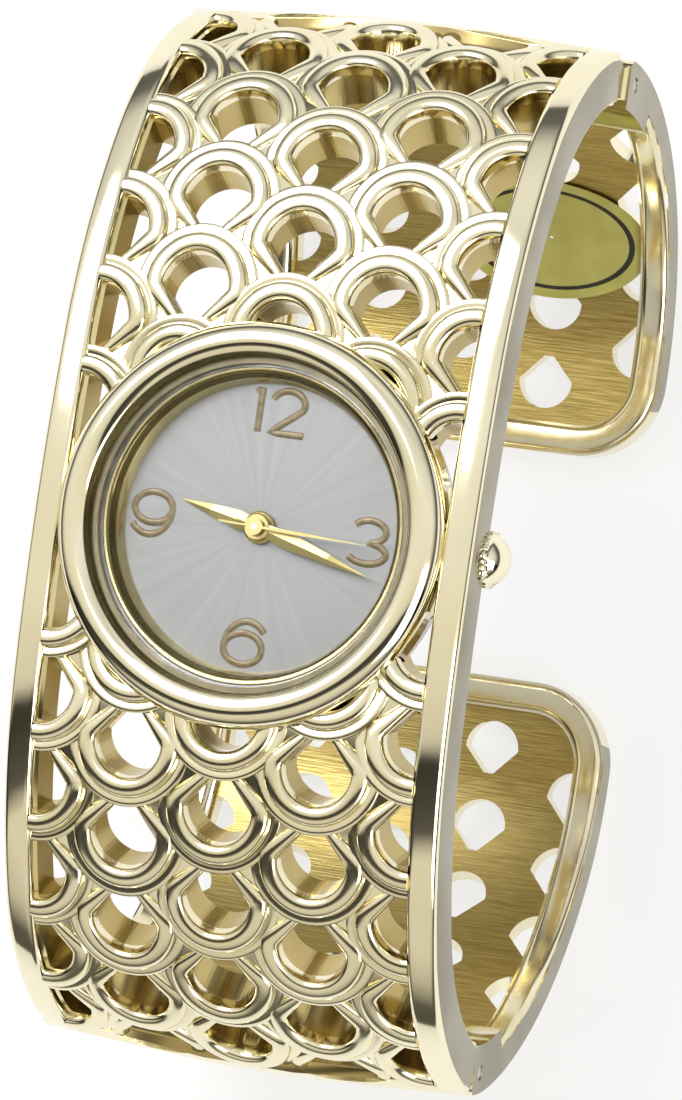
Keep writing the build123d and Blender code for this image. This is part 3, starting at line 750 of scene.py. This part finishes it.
# %% Outline of one opening
def fan_outline(width, length, foot, count=27):
    """Left foot, left side, round head, right side, right foot; the head's top is at (0, 0).

    The head is half a circle of half the width. The foot points are (-foot/2, -length) and its
    mirror."""
    half = width / 2
    turn = np.linspace(np.pi, 0.0, count)
    head = np.stack([half * np.cos(turn), -half + half * np.sin(turn)], axis=1)
    side = np.linspace(0, 1, count // 3, endpoint=False)[:, None]
    left = (1 - side) * np.array([-foot / 2, -length]) + side * head[0]
    right = ((1 - side) * np.array([foot / 2, -length]) + side * head[-1])[::-1]
    return np.concatenate([left, head, right])


fan = fan_outline(fan_width, fan_length, fan_foot)
print("points round an opening:", len(fan))

# %% Section and lie of one scale
# Closed profile of (distance from the opening, height above the lattice sheet)
scale_profile = np.array(
    [(-0.02, -0.5), (-0.02, 0.10), (0.02, 0.24), (0.10, 0.35), (0.24, 0.42), (0.45, 0.45), (0.68, 0.44),
     (0.90, 0.39), (1.04, 0.29), (1.12, 0.15), (1.15, 0.02), (1.19, -0.04), (1.30, -0.03), (1.44, 0.0),
     (1.60, -0.01), (1.70, -0.06), (1.72, -0.2), (1.72, -0.5)]
)
scale_base = -0.78
scale_tip = 0.14
foot_taper = 0.4
ridge_half = half_width - rail_width + 0.1
ridge_end = panel_half - 0.95
bezel_cover = 11.3


def scale_ridge(across, apex, way):
    """Raised edge of one scale: each outline point plus away times the profile's distance.

    Away is square to the outline and shrinks towards the foot. The edge is laid on the strip at the
    base height plus the profile's height plus a tip that grows towards the head, is cut short at
    the rails and the end bar, and is pushed out to where the bezel's roll covers it."""
    down = np.clip((-fan[:, 1] - fan_width / 2) / (fan_length - fan_width / 2), 0.0, 1.0)
    away = path_left(fan) * (1.0 - foot_taper * down)[:, None]
    flat = fan[:, None, :] + away[:, None, :] * scale_profile[None, :, 0, None]
    x = np.clip(across + flat[..., 0], -ridge_half, ridge_half)
    s = np.minimum(apex + flat[..., 1], ridge_end)
    height = scale_base + scale_profile[None, :, 1] + scale_tip * (flat[..., 1] + fan_width / 2)
    points = band.at(x, way * s, height)
    outward = np.maximum(1.0, bezel_cover / np.hypot(points[..., 0] - head_x, points[..., 1]))
    points[..., 0] = head_x + (points[..., 0] - head_x) * outward
    points[..., 1] *= outward
    return points


ridge_points, ridge_faces = closed_tubes([scale_ridge(*place) for place in panel_places()])
make_piece("panel_scale_ridges", ridge_points, ridge_faces, soft_gold, "front", 50.0)
print("ridge faces:", len(ridge_faces))

# %% [markdown]
# ## The bezel and the ring under the glass
#
# The bezel is one fat polished ring with a round crown and a slope down to the glass. A torus would
# be too plain. A profile turned about the dial's axis gives the fat outer roll and the slope at its
# inner edge. Under the glass a second ring slopes down to the dial. A narrow band on each is painted
# darker, as painted shade and reflection where the metal mirrors only the other ring.


# %% Painted shade in the grooves
def paint_groove_shade(piece, inner, outer, floor=0.0):
    """Paints shade on faces between two radii from the dial's axis, above a height, in a dark colour."""
    centres, _ = face_arrays(piece)
    reach = np.hypot(centres[:, 0] - head_x, centres[:, 1])
    add_finish(piece, groove_shade_gold, (reach > inner) & (reach < outer) & (centres[:, 2] > floor))


# %% Bezel
bezel_bore = 9.70
bezel_foot = low("bezel")[2]
glass_floor = low("crystal")[2]
roll_centre = np.array([10.62, rail_top - 0.02])
roll_radius = 1.16
roll_turn = np.radians(np.linspace(-10, 128, 29))
roll = roll_centre + roll_radius * np.stack([np.cos(roll_turn), np.sin(roll_turn)], axis=1)
slope = np.array([(9.86, 0.78), (9.82, 0.62), (9.78, 0.46), (9.74, 0.40), (bezel_bore, 0.36)])
slope = slope + (0, rail_top)
foot =[(10.42, glass_floor), (10.42, bezel_foot), (11.66, bezel_foot), (11.76, bezel_foot + 0.1)]
bezel_outline = np.concatenate([foot, roll, slope, [(bezel_bore, glass_floor)]])
bezel_ring = lathe("polished_bezel", bezel_outline, gold, "front", smooth_angle=55.0)
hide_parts("bezel")
paint_groove_shade(bezel_ring, 9.68, 9.90, rail_top)

# %% Dial ring
ring_foot, ring_top = low("dial_ring")[2], high("dial_ring")[2]
ring_outline = np.array(
    [(8.35, ring_foot), (9.14, ring_foot), (9.14, ring_top), (8.98, ring_top), (8.86, ring_top - 0.05),
     (8.78, ring_top - 0.16), (8.70, ring_top - 0.4), (8.62, ring_top - 0.62), (8.58, ring_top - 0.66),
     (8.50, ring_top - 0.9), (8.42, ring_foot + 0.3), (8.36, ring_foot + 0.1)]
)
dial_rim = lathe("sloped_dial_ring", ring_outline, ring_gold, "front", smooth_angle=50.0)
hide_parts("dial_ring")
paint_groove_shade(dial_rim, 8.63, 9.0)

# %% [markdown]
# ## The numbers
#
# Four raised numbers in brown gold stand on the dial, drawn with thin lines of one width. A font
# would do, but its strokes are too heavy. Each number is a few ellipse arcs and straight lines, with
# a low rounded ribbon carried along them.


# %% Strokes, drawn in a box from (0, 0) to (1, 1)
def arc(centre, radii, first, last, count=40):
    """Points of an ellipse: centre + (rx cos t, ry sin t) between two angles in degrees."""
    turn = np.radians(np.linspace(first, last, count))
    return np.stack([centre[0] + radii[0] * np.cos(turn), centre[1] + radii[1] * np.sin(turn)], axis=1)


def line(*corners):
    """Straight runs between corners: (1 - t) of one and t of the next, at six values of t."""
    corners = np.array(corners, float)
    share = np.linspace(0, 1, 6)[:, None]
    runs = [(1 - share) * start + share * end for start, end in zip(corners, corners[1:])]
    return np.concatenate([run[:-1] for run in runs[:-1]] + [runs[-1]])


six = [arc((0.5, 0.36), (0.5, 0.36), 0, 360, 60), arc((0.56, 0.40), (0.56, 0.60), 184, 38)]
nine = [1.0 - stroke for stroke in six]
three_top = arc((0.48, 0.74), (0.44, 0.26), 152, -90)
three_bottom = arc((0.48, 0.24), (0.5, 0.24), 90, -156)
three = [np.concatenate([three_top, three_bottom[1:]])]
one = [line((0.10, 0.88), (0.42, 1.0), (0.42, 0.0))]
two_top = arc((0.46, 0.70), (0.46, 0.30), 165, -22)
two_foot = line((0.86, 0.56), (0.02, 0.02), (0.98, 0.02))
two = [np.concatenate([two_top, two_foot[1:]])]
print("strokes in 6 and 9:", len(six), len(nine))

# %% Numbers on the dial
stroke_width, stroke_rise, stroke_root = 0.42, 0.08, 0.03


def number_piece(name, strokes, width, height, centre):
    """Low rounded ribbons on the dial: at each path point the profile lies across the path.

    The profile is a flattened arch, (width/2 cos t, rise sin t), with its feet in the dial."""
    turn = np.radians(np.linspace(0, 180, 9))
    arch = np.stack([stroke_width / 2 * np.cos(turn), stroke_rise * np.sin(turn)], axis=1)
    foot = np.array([[stroke_width / 2, -stroke_root]])
    arch = np.concatenate([foot, arch, foot * (-1, 1)])
    ribbons = []
    for stroke in strokes:
        path = (stroke - 0.5) * (width, height) + centre
        flat = path[:, None, :] + path_left(path)[:, None, :] * arch[None, :, 0, None]
        z = np.broadcast_to(dial_top + arch[None, :, 1], flat.shape[:2])
        ribbons.append(np.concatenate([flat, z[..., None]], axis=-1) + (head_x, 0, 0))
    points, faces = closed_tubes(ribbons)
    return make_piece(name, points, faces, number_brown, "front", 50.0)


numbers = {
    "number_12_first": (one, 0.9, 2.55, (-0.98, 6.75)),
    "number_12_second": (two, 2.15, 2.55, (0.75, 6.75)),
    "number_3": (three, 2.3, 2.5, (6.7, 0.0)),
    "number_6": (six, 2.35, 2.5, (0.0, -6.72)),
    "number_9": (nine, 2.35, 2.5, (-6.7, 0.0)),
}
for name, (strokes, width, height, centre) in numbers.items():
    number_piece(name, strokes, width, height, centre)
print("numbers:", len(numbers))

# %% [markdown]
# ## The hands
#
# The hour and minute hands are thin gold leaves with a crease along the middle, widest a little way
# out from the hub. The CAD blades are flat, and a flat blade shows one tone. Two sloped halves catch
# different light, so the blades are made again with two long facets on top, over the same outline.

# %% Shares of a leaf's length and width at its five stations
station_shares = (0.0, 0.28, 0.64, 1.0)
width_shares = (1 / 4, 1 / 3, 1 / 2, 1 / 3.4)
tip_half = 0.02
edge_share = 0.45


# %% Creased blades
def hand(name, node, angle, length, width, tail, hub, bore):
    """A leaf from -tail to its tip with a ridge line above both edges, and a ring round its hole.

    Its five points at each station are both edges and the ridge on top, and both edges below. The
    body of a hand has the same name as its node."""
    base, top = low(node)[2], high(node)[2]
    edge = base + edge_share * (top - base)
    stations = np.array([-tail, *(share * length for share in station_shares)])
    halves = np.array([*(share * width for share in width_shares), tip_half])
    section = ((-1, edge), (0, top), (1, edge), (1, base), (-1, base))
    rows = [np.stack([stations, way * halves, np.full(5, z)], axis=1) for way, z in section]
    points, faces = closed_tubes([np.stack(rows, axis=1)])
    turn = math.radians(angle)
    spin = np.array([[math.cos(turn), math.sin(turn), 0], [-math.sin(turn), math.cos(turn), 0], [0, 0, 1]])
    leaf = make_piece(name, points @ spin + (head_x, 0, 0), faces, hand_gold, node, 12.0)
    collar = [(bore, base), (hub, base), (hub, edge), (hub * 0.9, top), (bore, top)]
    ring = lathe(name + "_hub", collar, hand_gold, node, count=64)
    for piece in (leaf, ring):
        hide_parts(node)
    print(name, "from", -tail, "to", length)


hand("hour_leaf", "hour_hand", angle=168.0, length=5.0, width=1.1, tail=1.3, hub=0.95, bore=0.71)
hand("minute_leaf", "minute_hand", angle=-16.0, length=7.4, width=1.0, tail=1.3, hub=0.8, bore=0.43)

# %% [markdown]
# ## The arms
#
# Inside, each arm has a bright raised rim round a recessed field that is drawn with straight
# scratches. One solid carries both finishes, so the faces that lie in the field get the brushed
# material. Choosing them by direction and depth needs no painting.

# %% Brushed field and soft rim
plate_thickness = 1.1
arm_rim = 1.9
rim_start = 6.0
rim_corner = 4.05


def brush_the_field(piece, face, looks_in=-0.8, depth_fit=0.2):
    """Gives the brushed finish to faces that lie on the recessed floor and look inward."""
    centres, normals = face_arrays(piece)
    along, depth = face.nearest(centres)
    inward = (normals[:, 1:] * face.outward(along)).sum(axis=1) < looks_in
    add_finish(piece, inner_gold, inward & (np.abs(depth - plate_thickness) < depth_fit))


def rim_path(face, inset, corner):
    """U of (across, along) round an arm: down one side, round two corners, and back up the other."""
    side, tip = half_width - inset, face.length - inset
    turn = np.radians(np.linspace(0, 90, 24))
    bend = np.stack([side - corner + corner * np.cos(turn), tip - corner + corner * np.sin(turn)], axis=1)
    down_side = np.linspace((side, rim_start), (side, tip - corner), 60, endpoint=False)
    across_tip = np.linspace((side - corner, tip), (0.0, tip), 20)[1:]
    half = np.concatenate([down_side, bend, across_tip])
    return np.concatenate([half, half[-2::-1] * (-1, 1)])


# %% Both arms
rim_gap, rim_low, rim_high = 0.06, -1.95, -1.2
rim_profile = rounded_bar(arm_rim - rim_gap, rim_low, rim_high, (0.5, 0.1, 0.1, 0.5), 10)
for arm, face in arm_faces.items():
    casting = smooth_copy(arm, arm + "_casting", gold, arm)
    brush_the_field(casting, face)
    paint_side_shade(casting)
    even_normals(casting, face)
    path = rim_path(face, arm_rim / 2, rim_corner)
    carried_strip(arm + "_rim", face, path, rim_profile, soft_gold, arm)

# %% [markdown]
# ## The blank oval
#
# A thin yellow oval lies on the inside of the upper arm, with one dark line near its edge and
# nothing on it. A flat disc would cut through the curved arm. Rings of an ellipse laid on the arm's
# strip follow its bend, and the ring between two of them gets the dark finish.

# %% The blank oval
label_yellow = speckled("label_yellow", (0.50, 0.47, 0.12), (0.60, 0.57, 0.17), 600.0, 0.0, 0.45)
label_line = speckled("label_line", (0.02, 0.02, 0.015), (0.04, 0.04, 0.03), 600.0, 0.0, 0.5)
label_across, label_along = 5.5, 18.6
label_half_across, label_half_along = 6.5, 4.1
label_depth, label_thickness = 1.32, 0.08
ring_shares = np.array([0.02, 0.4, 0.80, 0.86, 0.92, 0.97, 1.0])
dark_ring = 2


def blank_label(face, count=96):
    """Rings of an ellipse at shares of its size, once on the face and once a little deeper."""
    turn = np.linspace(0, 2 * np.pi, count, endpoint=False)
    across = label_across + label_half_across * ring_shares[:, None] * np.cos(turn)
    along = label_along + label_half_along * ring_shares[:, None] * np.sin(turn)
    upper, lower = (
        face.at(across, along, np.full(across.shape, -label_depth - deeper))
        for deeper in (0.0, label_thickness)
    )
    points = np.concatenate([upper, lower[::-1]])
    faces = grid_quads(len(points), count, wrap_columns=True, wrap_rows=True)
    label = make_piece("blank_label", points.reshape(-1, 3), faces, label_yellow, "upper_arm")
    corners = np.array([v.co[:] for v in label.data.vertices]) / mm
    gap = np.linalg.norm(corners[:, None] - upper.reshape(1, -1, 3), axis=2)
    ring = (np.argmin(gap, axis=1) // count)[np.array([f.vertices[:] for f in label.data.polygons])]
    add_finish(label, label_line, (ring.min(axis=1) == dark_ring) & (ring.max(axis=1) == dark_ring + 1))


blank_label(arm_faces["upper_arm"])

# %% [markdown]
# ## The studio
#
# The gold in the photograph shows mostly white with a few dark bands, as it would in a white tent
# with gaps. A single lamp would leave mirror metal black. Here the world is a pale dome with darker
# bands, two large soft lamps give the direction of the light, and the floor is white.

# %% Bands of the dome
# (place, grey) from 6 o'clock's side at 0 to 12 o'clock's side at 1, then from below at 0 to above at 1
dome_bands = ((0.0, 0.76), (0.21, 0.84), (0.25, 0.10), (0.37, 0.03), (0.40, 0.74), (0.46, 0.92), (0.60, 1.0),
              (0.74, 0.84), (0.80, 0.74), (0.87, 0.94), (1.0, 1.0))
dome_rise = ((0.0, 0.3), (0.48, 0.10), (0.58, 0.16), (0.68, 0.75), (0.78, 1.0))
warm_side, cool_side = 0.82, 0.98
dome_strength = 0.95


def warmed(place, grey):
    """Grey with less blue, and a little less green, on the warm half of the dome."""
    warmth = warm_side if place < 0.5 else cool_side
    return grey, grey * (0.7 + 0.3 * warmth), grey * warmth


print("dome bands:", len(dome_bands))


# %% World
def studio_world():
    """Pale dome: a band colour by Y times a grey by Z, and plain white to the camera."""
    world = bpy.data.worlds.new("studio")
    bpy.context.scene.world = world
    world.use_nodes = True
    world.node_tree.nodes.clear()
    add, link = node_tools(world.node_tree)
    look = add("ShaderNodeTexCoord")
    split = add("ShaderNodeSeparateXYZ")
    link(look.outputs["Generated"], split.inputs["Vector"])

    def by_axis(axis, stops):
        shift = add("ShaderNodeMapRange")
        set_sockets(shift, {"From Min": -1.0})
        link(split.outputs[axis], shift.inputs["Value"])
        return ramp(add, link, shift.outputs["Result"], stops)

    bands = by_axis("Y", [(place, warmed(place, grey)) for place, grey in dome_bands])
    rise = by_axis("Z", [(place, (grey, grey, grey)) for place, grey in dome_rise])
    both = add("ShaderNodeMix", data_type="RGBA", blend_type="MULTIPLY")
    both.inputs[0].default_value = 1.0
    link(bands.outputs["Color"], both.inputs[6])
    link(rise.outputs["Color"], both.inputs[7])
    dome = add("ShaderNodeBackground", Strength=dome_strength)
    link(both.outputs[2], dome.inputs["Color"])
    plain = add("ShaderNodeBackground", Strength=1.0)
    set_sockets(plain, {"Color": (1.0, 1.0, 1.0, 1.0)})
    ray = add("ShaderNodeLightPath")
    mix = add("ShaderNodeMixShader")
    link(ray.outputs["Is Camera Ray"], mix.inputs[0])
    link(dome.outputs["Background"], mix.inputs[1])
    link(plain.outputs["Background"], mix.inputs[2])
    link(mix.outputs["Shader"], add("ShaderNodeOutputWorld").inputs["Surface"])
    print("world nodes:", len(world.node_tree.nodes))


studio_world()

# %% Lamps
lamp_target = np.array([0.0, 0.0, 20.0])


def soft_lamp(name, place, size, power):
    """A square area lamp that looks from its place to the watch, in millimetres."""
    lamp = bpy.data.lights.new(name, "AREA")
    lamp.shape = "SQUARE"
    lamp.size = size * mm
    lamp.energy = power
    lamp_object = bpy.data.objects.new(name, lamp)
    bpy.context.scene.collection.objects.link(lamp_object)
    back = np.array(place, float) - lamp_target
    back /= np.linalg.norm(back)
    side = np.cross([0.0, 1.0, 0.05], back)
    side /= np.linalg.norm(side)
    lamp_object.matrix_world = placed(side, np.cross(back, side), back, place)
    print(name, "power", power)


soft_lamp("key_lamp", (-120, 160, 330), 220, 1.1)
soft_lamp("fill_lamp", (260, -120, 220), 200, 0.5)

# %% Floor
floor_half = 1.2
floor_drop = 0.0002
floor_glow = 0.7


def any_of(add, link, sockets):
    """The largest of several values, taken two at a time."""
    result = sockets[0]
    for socket in sockets[1:]:
        larger = add("ShaderNodeMath", operation="MAXIMUM")
        link(result, larger.inputs[0])
        link(socket, larger.inputs[1])
        result = larger.outputs["Value"]
    return result


def white_floor():
    """White matte that glows a little to rays from the camera, from gloss and through glass."""
    material, shader, add, link = new_material("white_floor")
    shades = [(0.3, (0.90, 0.90, 0.90)), (0.7, (0.92, 0.92, 0.92))]
    colour_from(add, link, shader, noise(add, link, Scale=40.0), shades)
    set_sockets(shader, {"Roughness": 0.9})
    ray = add("ShaderNodeLightPath")
    kinds = ("Is Camera Ray", "Is Glossy Ray", "Is Transmission Ray")
    share = add("ShaderNodeMath", operation="MULTIPLY")
    share.inputs[1].default_value = floor_glow
    link(any_of(add, link, [ray.outputs[kind] for kind in kinds]), share.inputs[0])
    glow = add("ShaderNodeEmission", Strength=1.0)
    mix = add("ShaderNodeMixShader")
    link(share.outputs["Value"], mix.inputs[0])
    link(shader.outputs["BSDF"], mix.inputs[1])
    link(glow.outputs["Emission"], mix.inputs[2])
    link(mix.outputs["Shader"], material.node_tree.nodes["Material Output"].inputs["Surface"])
    return material


floor_mesh = bpy.data.meshes.new("floor")
floor_corners = [(-1, -1), (1, -1), (1, 1), (-1, 1)]
floor_points = [(floor_half * x, floor_half * y, -floor_drop) for x, y in floor_corners]
floor_mesh.from_pydata(floor_points, [], [(0, 1, 2, 3)])
floor_mesh.materials.append(white_floor())
floor = bpy.data.objects.new("floor", floor_mesh)
bpy.context.scene.collection.objects.link(floor)
bpy.context.scene.view_settings.view_transform = "Standard"
print("floor half width in metres:", floor_half)
